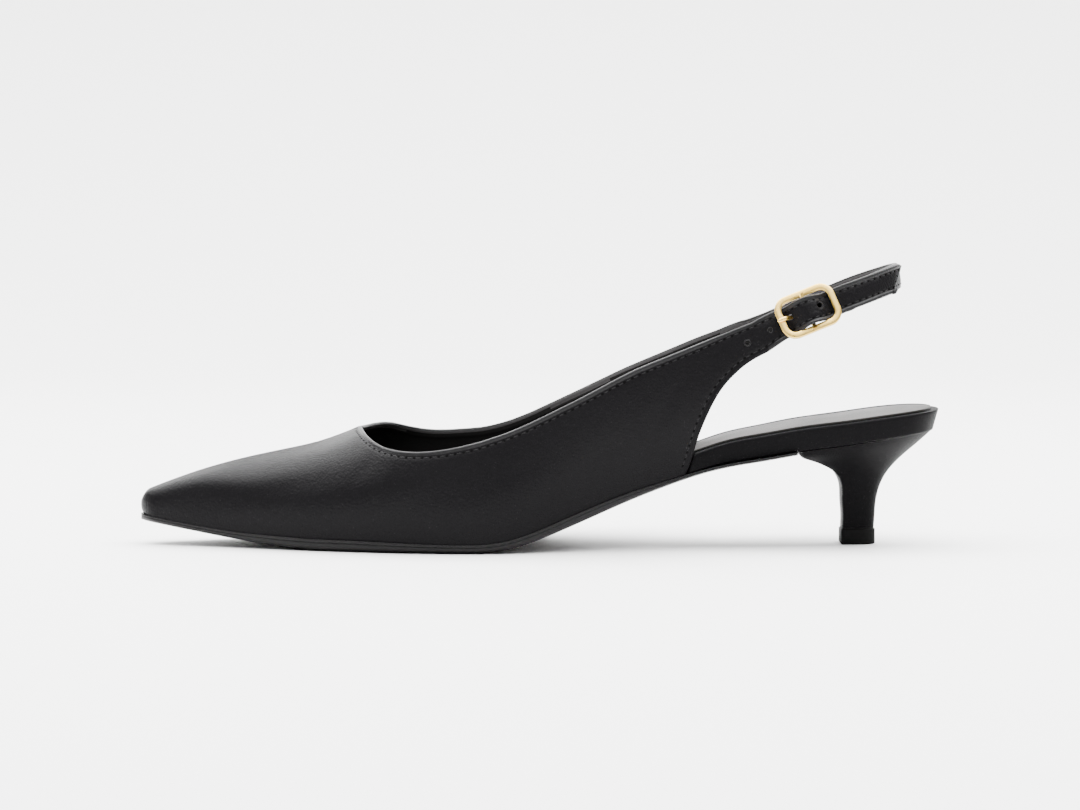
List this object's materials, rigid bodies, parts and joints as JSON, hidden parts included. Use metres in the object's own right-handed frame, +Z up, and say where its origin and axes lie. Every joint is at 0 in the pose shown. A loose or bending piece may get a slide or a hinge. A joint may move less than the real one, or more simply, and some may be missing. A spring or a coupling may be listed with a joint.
{
  "type": "slingback pump",
  "caption": "Pointed slingback pump for the left foot, with a hollow leather upper, buckled heel strap and slim kitten heel.",
  "frame": {"origin": "middle of the heel tip's underside, on the floor", "axes": "+X from the toe to the heel, +Y to the inner side of the foot, +Z up"},
  "size_m": [0.2643, 0.0847, 0.0932],
  "materials": {
    "leather": "black calf leather, fine grain, soft sheen",
    "sole_leather": "black sole leather with a burnished edge",
    "sock_leather": "smooth grey-brown lining leather",
    "heel_cover": "thin black leather stretched over the heel block",
    "rubber": "matt black top piece",
    "pale_gold": "polished pale gold"
  },
  "bodies": {
    "root": {"outsole": "sole_leather", "insole": "leather", "sock": "sock_leather", "heel": "heel_cover", "heel_tip": "rubber", "upper": "leather", "buckle_strap": "leather", "sling_strap": "leather", "buckle_frame": "pale_gold", "buckle_prong": "pale_gold"}
  },
  "joints": []
}
